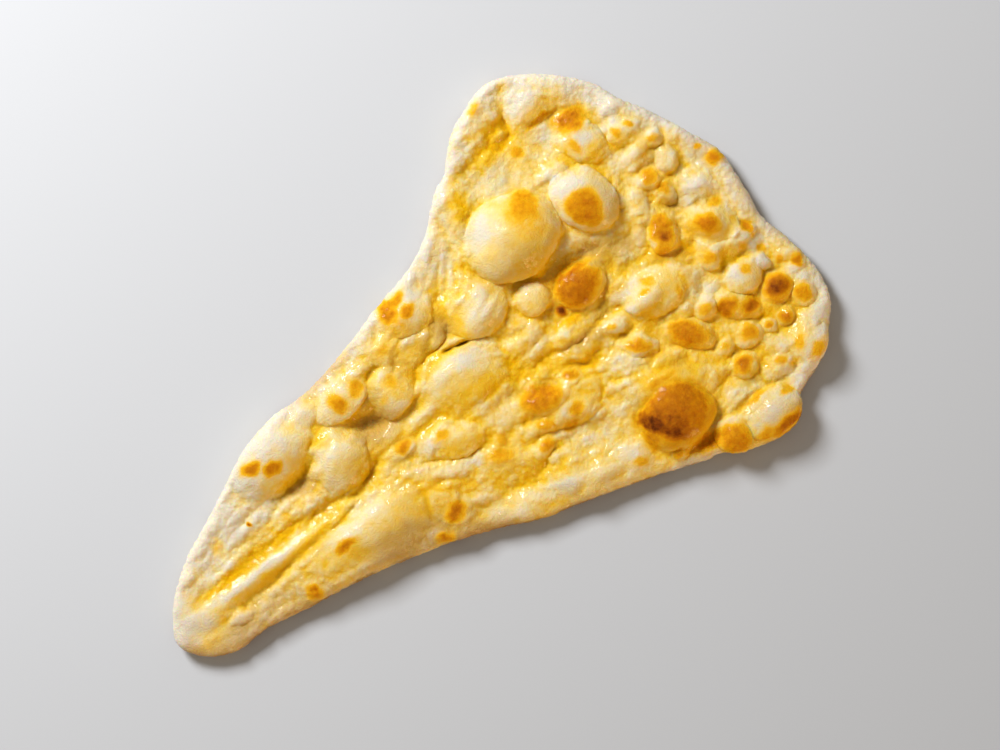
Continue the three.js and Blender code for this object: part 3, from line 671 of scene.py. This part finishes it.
marks_x = frayed(top_xy[:, 0], FRAY_SEEDS[0])
marks_y = frayed(top_xy[:, 1], FRAY_SEEDS[1])
edge_facing = (edge - ring_inside(edge, 1)) @ lean_way
facing = np.concatenate([np.tile(edge_facing, RIM_RINGS), np.zeros(len(top_dots))])
# Painted shade as well as singed crust: a dark lip only on edges turned away from the key light
singed_and_shaded_lip = smooth_step(facing, *LIP_FACING) * (1 - smooth_step(inside_edge, *LIP_FADE))
singed_and_shaded_lip *= smooth_step(patchy(x, y, LIP_PATCH, LIP_SEED), *LIP_PATCH_RANGE)
firm = FIRM_SHARE * smooth_step(crown, *FIRM_CROWNS) * smooth_step(rise, *FIRM_RISES)
keep_attribute(bread_mesh, "toast", paint(marks_x, marks_y, TOASTS, TOAST_FADE), 0)
keep_attribute(bread_mesh, "singed_and_shaded", singed_and_shaded_lip, 0)
keep_attribute(bread_mesh, "butter_and_shade", paint(marks_x, marks_y, BUTTER_AND_SHADE_POOLS, BUTTER_AND_SHADE_FADE), 0)
keep_attribute(bread_mesh, "tan", paint(marks_x, marks_y, SHADE_AND_TAN_PATCHES, SHADE_AND_TAN_FADE), 0)
keep_attribute(bread_mesh, "pale_and_highlight", paint(marks_x, marks_y, PALE_AND_HIGHLIGHT_PATCHES, PALE_AND_HIGHLIGHT_FADE), UNDERSIDE_PALE)
keep_attribute(bread_mesh, "slack", slack, 0)
keep_attribute(bread_mesh, "soft", 1 - firm, 0)
# painted shade inside the tear, darker where it is deeper
keep_attribute(bread_mesh, "tear_shade", tear * smooth_step(tear_depth, *TEAR_SHADE_DEPTHS), 0)
keep_attribute(bread_mesh, "underside", np.zeros(len(top)), 1)

bread = bpy.data.objects.new("naan_bread", bread_mesh)
bpy.context.collection.objects.link(bread)

# Skin: the dough settles into soft creases, and small bubbles and pimples rise along its own normals.
# Its side turned away from the key light is remembered, so that the crust can paint shade there, and so are
# hollows and valleys, as how far a point lies under its near and wider neighbourhood in millimetres, where
# the crust paints pooled butter and shade.
SKIN_INPUTS = {
    "Bubble size": 6 * MM, "Bubble rise": 0.65 * MM, "Pimple size": 2.3 * MM, "Pimple rise": 0.6 * MM,
    "Seed": 7,
}
SETTLE_PASSES = 2
BUBBLE_PATCH = 11 * MM      # bubbles stand in patches of about this size
BUBBLE_COVER = 0.45         # and spread farther out of them the larger this is
NOISE_GAIN = 3.0            # brings noise to about -1 to 1
CAP_CROWDING = 1.25         # bubbles and pimples end at 1 over this of their size
HOLLOW_PASSES = 14
VALLEY_PASSES = 130

skin = bpy.data.node_groups.new("naan_skin", "GeometryNodeTree")
skin.interface.new_socket("Geometry", in_out="INPUT", socket_type="NodeSocketGeometry")
skin.interface.new_socket("Geometry", in_out="OUTPUT", socket_type="NodeSocketGeometry")
skin_sockets = {
    name: skin.interface.new_socket(name, in_out="INPUT", socket_type="NodeSocketFloat").identifier
    for name in SKIN_INPUTS
}
crust_socket = skin.interface.new_socket("Crust", in_out="INPUT", socket_type="NodeSocketMaterial")


def add_node(tree, kind, inputs=None, **settings):
    """A node with its settings made, and its inputs set to values or linked from sockets."""
    node = tree.nodes.new(kind)
    for name, value in settings.items():
        setattr(node, name, value)
    for name, value in (inputs or {}).items():
        if isinstance(value, bpy.types.NodeSocket):
            tree.links.new(value, node.inputs[name])
        else:
            node.inputs[name].default_value = value
    return node


def math_node(tree, operation, first, second=0.0, clamp=False):
    node = add_node(tree, "ShaderNodeMath", {0: first, 1: second}, operation=operation, use_clamp=clamp)
    return node.outputs["Value"]


def product(tree, first, *others):
    for other in others:
        first = math_node(tree, "MULTIPLY", first, other)
    return first


def total(tree, first, *others):
    for other in others:
        first = math_node(tree, "ADD", first, other)
    return first


def named_number(name):
    node = add_node(skin, "GeometryNodeInputNamedAttribute", {"Name": name}, data_type="FLOAT")
    return node.outputs["Attribute"]


given = add_node(skin, "NodeGroupInput").outputs
position = add_node(skin, "GeometryNodeInputPosition").outputs["Position"]
normal = add_node(skin, "GeometryNodeInputNormal").outputs["Normal"]
slack_input = named_number("slack")


def patches(size, cover):
    """Random patches of about the given size, from 0 outside them to 1 in them."""
    node = add_node(
        skin, "ShaderNodeTexNoise",
        {"Vector": position, "W": given["Seed"], "Scale": 1 / size, "Detail": 1.0},
        noise_dimensions="4D",
    )
    centred = math_node(skin, "SUBTRACT", node.outputs["Fac"], 0.5)
    return math_node(skin, "ADD", math_node(skin, "MULTIPLY", centred, NOISE_GAIN), cover, clamp=True)


def packed_caps(size):
    """Rounded caps from 0 to 1, packed side by side at the given size."""
    node = add_node(
        skin, "ShaderNodeTexVoronoi",
        {"Vector": position, "W": given["Seed"], "Scale": math_node(skin, "DIVIDE", 1.0, size)},
        voronoi_dimensions="4D",
    )
    reach = math_node(skin, "MULTIPLY", node.outputs["Distance"], CAP_CROWDING)
    return math_node(skin, "SUBTRACT", 1.0, math_node(skin, "POWER", reach, 2.0), clamp=True)


def averaged(passes, **weight):
    """Each point's place averaged with its neighbours' over some passes."""
    node = add_node(
        skin, "GeometryNodeBlurAttribute", {"Value": position, "Iterations": passes, **weight},
        data_type="FLOAT_VECTOR")
    return node.outputs["Value"]


def remember(geometry, name, value):
    node = add_node(
        skin, "GeometryNodeStoreNamedAttribute", {"Geometry": geometry, "Name": name, "Value": value},
        data_type="FLOAT", domain="POINT")
    return node.outputs["Geometry"]


def remember_depth(geometry, name, passes):
    above = add_node(skin, "ShaderNodeVectorMath", {0: averaged(passes), 1: position}, operation="SUBTRACT")
    depth = add_node(
        skin, "ShaderNodeVectorMath", {0: above.outputs["Vector"], 1: normal}, operation="DOT_PRODUCT")
    return remember(geometry, name, math_node(skin, "DIVIDE", depth.outputs["Value"], MM))


settled = add_node(
    skin, "GeometryNodeSetPosition",
    {"Geometry": given["Geometry"], "Position": averaged(SETTLE_PASSES, Weight=named_number("soft"))})
bubbles = product(
    skin, packed_caps(given["Bubble size"]), given["Bubble rise"], slack_input,
    patches(BUBBLE_PATCH, BUBBLE_COVER))
pimples = product(skin, packed_caps(given["Pimple size"]), given["Pimple rise"], slack_input)
relief = total(skin, bubbles, pimples)
offset = add_node(skin, "ShaderNodeVectorMath", {0: normal, "Scale": relief}, operation="SCALE")
raised = add_node(
    skin, "GeometryNodeSetPosition",
    {"Geometry": settled.outputs["Geometry"], "Offset": offset.outputs["Vector"]})
# Painted shade: how squarely each point faces away from the key light; the crust colours such points
# yellower
shaded_side = add_node(skin, "ShaderNodeVectorMath", {0: normal, 1: (*lean_way, 0)}, operation="DOT_PRODUCT")
remembered = remember(raised.outputs["Geometry"], "shaded_side", shaded_side.outputs["Value"])
remembered = remember_depth(remembered, "hollow", HOLLOW_PASSES)
remembered = remember_depth(remembered, "valley", VALLEY_PASSES)
realized = add_node(skin, "GeometryNodeRealizeInstances", {"Geometry": remembered})
coated = add_node(
    skin, "GeometryNodeSetMaterial", {"Geometry": realized.outputs["Geometry"], "Material": given["Crust"]})
add_node(skin, "NodeGroupOutput", {"Geometry": coated.outputs["Geometry"]})

# Baked crust: pale and floury at the rim, yellow where butter soaked in, brown on the blisters, with painted
# shade in creases, hollows and valleys and on the sides turned away from the key light, and painted
# highlight on some pale crests. A range of four numbers carries a value from the first two to the last two,
# and one of two to 0 and 1.
FLOUR = (0.705, 0.655, 0.525, 1)
CREAM = (0.775, 0.66, 0.36, 1)
DOUGH_YELLOW = (0.80, 0.60, 0.17, 1)
BUTTER_YELLOW = (0.83, 0.54, 0.035, 1)
DEEP_BUTTER = (0.82, 0.47, 0.002, 1)
# Painted shade: deep creases are darkened towards this brown
CREASE_SHADE_BROWN = (0.58, 0.26, 0.006, 1)
# Painted shade on shaded slopes and hollows, and dry-baked tan on the rim
SHADE_AND_BAKED_TAN = (0.47, 0.28, 0.065, 1)
# Painted shade as well as singed crust, on edges turned away from the key light
SINGED_AND_SHADE_BROWN = (0.20, 0.09, 0.02, 1)
# Painted shade inside the tear
TEAR_SHADE_BROWN = (0.16, 0.07, 0.01, 1)
UNDER_CREAM = (0.80, 0.62, 0.34, 1)
UNDER_BROWN = (0.33, 0.13, 0.025, 1)
SOAK_STOPS = [
    (0.0, FLOUR), (0.25, CREAM), (0.5, DOUGH_YELLOW), (0.75, BUTTER_YELLOW), (1.0, DEEP_BUTTER),
]
TOAST_STOPS = [
    (0.0, (0.80, 0.60, 0.17, 1)), (0.15, (0.82, 0.53, 0.05, 1)), (0.3, (0.775, 0.432, 0.012, 1)),
    (0.45, (0.70, 0.325, 0.003, 1)), (0.6, (0.55, 0.20, 0.002, 1)), (0.75, (0.41, 0.125, 0.002, 1)),
    (0.9, (0.20, 0.045, 0.002, 1)), (1.0, (0.08, 0.016, 0.001, 1)),
]
BUTTER_AND_SHADE_SOAK = 0.5           # how far a pool of butter soaks the dough, which paints shade where a pool lies on a shaded slope
PALE_AND_HIGHLIGHT_SOAK = -0.52           # and a pale patch keeps it dry, which paints highlight where it lies on a lit crest
# Painted shade: points that face away from the key light are coloured yellower, less so on pale patches
SHADED_SIDE_SOAK = (-0.2, 0.8, -0.05, 0.22)
SHADED_SIDE_ON_PALE = (0.0, 1.0, 1.0, 0.35)
# Hollows and valleys are soaked yellower and darker and tops kept drier: butter that pooled low, and painted
# shade
HOLLOW_SOAK_AND_SHADE = (-0.9, 0.6, 0.22, 0.7)
VALLEY_SOAK_AND_SHADE = (-4.0, 2.0, -0.04, 0.16)
BLOTCHES = [(22 * MM, 0.2), (9 * MM, 0.1), (4 * MM, 0.1)]   # sizes of uneven soaking, and how far it goes
BLOTCH_NOISE = (0.3, 0.7)
CREASE_SHADE_SHARE = (0.45, 0.95, 0.0, 0.45)
SPECKLE_SIZE = 3 * MM
SPECKLE_DETAIL = 4.0
SPECKLE = (0.25, 0.75, -0.11, 0.11)
SPECKLED_TOAST = (0.0, 0.5)
TOAST_COVER = (0.0, 0.26)
SINGED_AND_SHADE_SHARE = 0.85
TEAR_SHADE_SHARE = 0.9
SCORCH_SIZE = 16 * MM
SCORCH_DETAIL = 3.0
SCORCH_DRIFT = 0.4          # scorch marks gather by this share, in patches of the next size
SCORCH_DRIFT_SIZE = 60 * MM
SCORCH_COVER = (0.62, 0.86)
BUTTER_GREASE = 0.7
TOAST_GREASE = -0.55
PALE_GREASE = (0.0, 0.8, 0.65, 0.24)
BEAD_SIZE = 5 * MM          # grease stands in beads of about this size
BEADS = (0.42, 0.6, 0.15, 1.0)
GREASE_ROUGHNESS = (0.0, 0.8, 0.64, 0.5)
GREASE_COAT = (0.05, 0.8, 0.0, 0.7)
COAT_ROUGHNESS = 0.06
COAT_IOR = 1.4
SPECULAR = 0.05
CRUMB_GLOW = 0.5            # light that spreads inside the crumb, and how far in each colour
CRUMB_GLOW_COLOURS = (1.0, 0.4, 0.08)
CRUMB_GLOW_DEPTH = 4 * MM
PORE_SIZE = 1.1 * MM
PORE_DETAIL = 3.0
FINE_PORE_SIZE = 0.5 * MM
FINE_PORE_SHARE = 0.5
PORE_DEPTH = 0.5 * MM
FILM_SIZE = 2.2 * MM        # ripples in the film of butter
FILM_DETAIL = 1.0
FILM_STRENGTH = 0.45
FILM_DEPTH = 0.5 * MM

crust = bpy.data.materials.new("naan_crust")
crust.use_nodes = True
tree = crust.node_tree
shader = tree.nodes["Principled BSDF"]
place = add_node(tree, "ShaderNodeTexCoord").outputs["Object"]


def attribute(name):
    node = add_node(tree, "ShaderNodeAttribute", attribute_name=name, attribute_type="GEOMETRY")
    return node.outputs["Fac"]


def mottle(size, detail=2.0):
    """Noise from 0 to 1 with features of the given size in metres."""
    node = add_node(tree, "ShaderNodeTexNoise", {"Vector": place, "Scale": 1 / size, "Detail": detail})
    return node.outputs["Fac"]


def spread(value, low, high, to_low=0.0, to_high=1.0):
    """A value carried from one range to another, held at the ends."""
    node = add_node(
        tree, "ShaderNodeMapRange",
        {"Value": value, "From Min": low, "From Max": high, "To Min": to_low, "To Max": to_high},
    )
    return node.outputs["Result"]


def ramp(value, stops):
    node = add_node(tree, "ShaderNodeValToRGB", {"Fac": value})
    while len(node.color_ramp.elements) < len(stops):
        node.color_ramp.elements.new(1.0)
    for element, (at, colour) in zip(node.color_ramp.elements, stops):
        element.position = at
        element.color = colour
    return node.outputs["Color"]


def mix_colour(factor, first, second):
    node = add_node(tree, "ShaderNodeMix", {0: factor, 6: first, 7: second}, data_type="RGBA")
    return node.outputs[2]


def bump(height, strength, depth):
    node = add_node(tree, "ShaderNodeBump", {"Height": height, "Strength": strength, "Distance": depth})
    return node.outputs["Normal"]


toast = attribute("toast")
butter_and_shade = attribute("butter_and_shade")
hollow = attribute("hollow")
pale_and_highlight = attribute("pale_and_highlight")
# Painted shade on the sides turned away from the key light
painted_side_shade = product(tree, spread(attribute("shaded_side"), *SHADED_SIDE_SOAK), spread(pale_and_highlight, *SHADED_SIDE_ON_PALE))
soak_and_shade = total(
    tree, product(tree, butter_and_shade, BUTTER_AND_SHADE_SOAK), product(tree, pale_and_highlight, PALE_AND_HIGHLIGHT_SOAK), painted_side_shade,
    spread(hollow, *HOLLOW_SOAK_AND_SHADE), spread(attribute("valley"), *VALLEY_SOAK_AND_SHADE))
for size, reach in BLOTCHES:
    soak_and_shade = total(tree, soak_and_shade, spread(mottle(size), *BLOTCH_NOISE, -reach, reach))
# Painted shade darkens the deep creases
crease_shaded = mix_colour(spread(hollow, *CREASE_SHADE_SHARE), ramp(soak_and_shade, SOAK_STOPS), CREASE_SHADE_BROWN)
shaded_and_tanned = mix_colour(attribute("tan"), crease_shaded, SHADE_AND_BAKED_TAN)
speckle = spread(mottle(SPECKLE_SIZE, SPECKLE_DETAIL), *SPECKLE)
browning = total(tree, toast, product(tree, spread(toast, *SPECKLED_TOAST), speckle))
browned = mix_colour(spread(browning, *TOAST_COVER), shaded_and_tanned, ramp(browning, TOAST_STOPS))
singed_and_shaded = mix_colour(product(tree, attribute("singed_and_shaded"), SINGED_AND_SHADE_SHARE), browned, SINGED_AND_SHADE_BROWN)
drift = product(tree, mottle(SCORCH_DRIFT_SIZE), SCORCH_DRIFT)
scorch = spread(total(tree, mottle(SCORCH_SIZE, SCORCH_DETAIL), drift), *SCORCH_COVER)
finished = mix_colour(attribute("underside"), singed_and_shaded, mix_colour(scorch, UNDER_CREAM, UNDER_BROWN))
finished = mix_colour(product(tree, attribute("tear_shade"), TEAR_SHADE_SHARE), finished, TEAR_SHADE_BROWN)

greasy = total(tree, product(tree, butter_and_shade, BUTTER_GREASE), product(tree, toast, TOAST_GREASE))
greasy = math_node(tree, "ADD", greasy, spread(pale_and_highlight, *PALE_GREASE), clamp=True)
greasy = product(tree, greasy, spread(mottle(BEAD_SIZE), *BEADS))
pores = total(
    tree, mottle(PORE_SIZE, PORE_DETAIL), product(tree, mottle(FINE_PORE_SIZE), FINE_PORE_SHARE))
ripples = mottle(FILM_SIZE, FILM_DETAIL)
tree.links.new(finished, shader.inputs["Base Color"])
tree.links.new(spread(greasy, *GREASE_ROUGHNESS), shader.inputs["Roughness"])
tree.links.new(spread(greasy, *GREASE_COAT), shader.inputs["Coat Weight"])
tree.links.new(bump(pores, 1.0, PORE_DEPTH), shader.inputs["Normal"])
tree.links.new(bump(ripples, FILM_STRENGTH, FILM_DEPTH), shader.inputs["Coat Normal"])
shader.inputs["Coat Roughness"].default_value = COAT_ROUGHNESS
shader.inputs["Coat IOR"].default_value = COAT_IOR
shader.inputs["Specular IOR Level"].default_value = SPECULAR
shader.inputs["Subsurface Weight"].default_value = CRUMB_GLOW
shader.inputs["Subsurface Radius"].default_value = CRUMB_GLOW_COLOURS
shader.inputs["Subsurface Scale"].default_value = CRUMB_GLOW_DEPTH

skinning = bread.modifiers.new("naan_skin", "NODES")
skinning.node_group = skin
for name, value in SKIN_INPUTS.items():
    skinning[skin_sockets[name]] = float(value)
skinning[crust_socket.identifier] = crust
evaluated = bread.evaluated_get(bpy.context.evaluated_depsgraph_get())
bread.data = bpy.data.meshes.new_from_object(evaluated)
bread.modifiers.clear()
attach(bread, "root")
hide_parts("naan")

# Floor: a plain pale studio surface under the bread
FLOOR_SIZE = 6.0
FLOOR_GREY = (0.62, 0.645, 0.685, 1)
FLOOR_ROUGHNESS = 0.8
half = FLOOR_SIZE / 2
corners = [(-half, -half, 0), (half, -half, 0), (half, half, 0), (-half, half, 0)]
floor_mesh = bpy.data.meshes.new("floor")
floor_mesh.from_pydata(corners, [], [(0, 1, 2, 3)])
floor = bpy.data.objects.new("floor", floor_mesh)
bpy.context.collection.objects.link(floor)
floor_grey = bpy.data.materials.new("floor_grey")
floor_grey.use_nodes = True
floor_shader = floor_grey.node_tree.nodes["Principled BSDF"]
floor_shader.inputs["Base Color"].default_value = FLOOR_GREY
floor_shader.inputs["Roughness"].default_value = FLOOR_ROUGHNESS
floor_mesh.materials.append(floor_grey)

# Camera: straight above the bread, turned so that the tail points to the lower left of the picture
PICTURE_TURN = 38           # degrees from the part's +X to the picture's right
PICTURE_WIDTH = 0.5         # metres across the picture at the floor
PICTURE_CENTRE = (0.0262, -0.0041)
CAMERA_HEIGHT = 1.6
picture_turn = math.radians(PICTURE_TURN)
camera_data = bpy.data.cameras.new("camera")
camera_data.lens = camera_data.sensor_width * CAMERA_HEIGHT / PICTURE_WIDTH
camera = bpy.data.objects.new("camera", camera_data)
camera.location = (*PICTURE_CENTRE, CAMERA_HEIGHT)
camera.rotation_euler = (0, 0, -picture_turn)
bpy.context.collection.objects.link(camera)
bpy.context.scene.camera = camera

# Light: a softbox from the picture's upper left, a low warm one opposite that lights the bread alone and
# stands in for light thrown back from below it, and an even warm room
KEY = dict(bearing=133, elevation=37, distance=1.5, size=0.5, watts=28.0, colour=(1, 1, 1))
GLOW = dict(bearing=-47, elevation=19, distance=1.8, size=0.8, watts=15, colour=(1.0, 0.64, 0.28))
ROOM_COLOUR = (1.0, 0.86, 0.7, 1)
ROOM_STRENGTH = 0.3


def softbox(name, bearing, elevation, distance, size, watts, colour):
    """A square lamp aimed at the bread, from a bearing in the picture and a height in degrees."""
    across = math.radians(bearing) - picture_turn
    up = math.radians(elevation)
    toward = Vector((math.cos(across) * math.cos(up), math.sin(across) * math.cos(up), math.sin(up)))
    lamp_data = bpy.data.lights.new(name, "AREA")
    lamp_data.size = size
    lamp_data.energy = watts
    lamp_data.color = colour
    lamp = bpy.data.objects.new(name, lamp_data)
    lamp.location = toward * distance
    lamp.rotation_euler = toward.to_track_quat("Z", "Y").to_euler()
    bpy.context.collection.objects.link(lamp)
    return lamp


softbox("key", **KEY)
glow = softbox("glow", **GLOW)
lit_by_glow = bpy.data.collections.new("lit_by_glow")
lit_by_glow.objects.link(bread)
glow.light_linking.receiver_collection = lit_by_glow
room = bpy.data.worlds.new("room")
room.use_nodes = True
room.node_tree.nodes["Background"].inputs["Color"].default_value = ROOM_COLOUR
room.node_tree.nodes["Background"].inputs["Strength"].default_value = ROOM_STRENGTH
bpy.context.scene.world = room
bpy.context.scene.view_settings.view_transform = "Standard"
